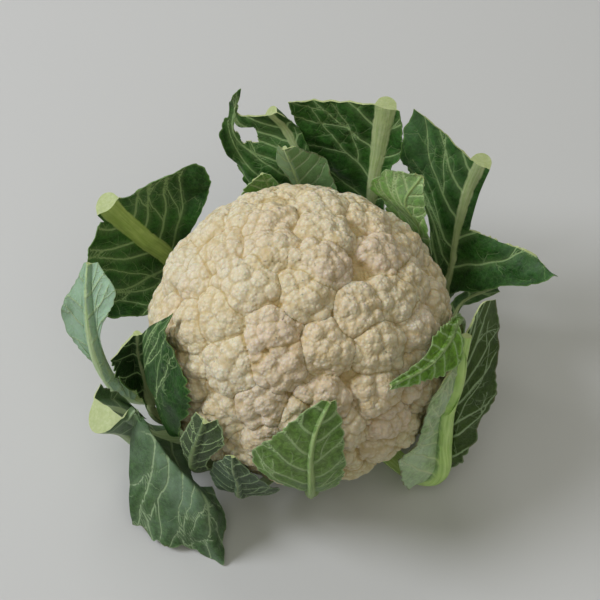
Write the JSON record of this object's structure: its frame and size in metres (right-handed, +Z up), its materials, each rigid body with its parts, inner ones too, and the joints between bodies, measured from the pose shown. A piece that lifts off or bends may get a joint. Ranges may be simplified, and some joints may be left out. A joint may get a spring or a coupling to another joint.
{
  "type": "cauliflower",
  "caption": "Whole fresh cauliflower head standing on its cut stem: a domed creamy curd ringed by green wrapper leaves trimmed short.",
  "frame": {"origin": "middle of the stem's flat cut face", "axes": "+Z up the stem to the top of the curd, -Y towards the side that the picture was taken from"},
  "size_m": [0.2715, 0.2161, 0.1551],
  "materials": {
    "curd": "matte",
    "stem": "satin",
    "leaf_dark": "satin",
    "leaf_light": "satin",
    "leaf_waxy": "satin"
  },
  "bodies": {
    "root": {"curd": "curd", "stem": "stem", "leaf_back": "leaf_dark", "leaf_right_back": "leaf_dark", "leaf_right_ruffled": "leaf_dark", "leaf_right_front": "leaf_waxy", "leaf_right_flap": "leaf_light", "leaf_front": "leaf_light", "leaf_front_left": "leaf_waxy", "leaf_left_front": "leaf_waxy", "leaf_left_small": "leaf_light", "leaf_left_inner": "leaf_dark", "leaf_left_outer": "leaf_waxy", "leaf_left_upper": "leaf_dark", "leaf_back_left": "leaf_dark", "leaf_back_flap": "leaf_waxy", "leaf_back_small": "leaf_light", "leaf_back_tiny": "leaf_light"}
  },
  "joints": []
}
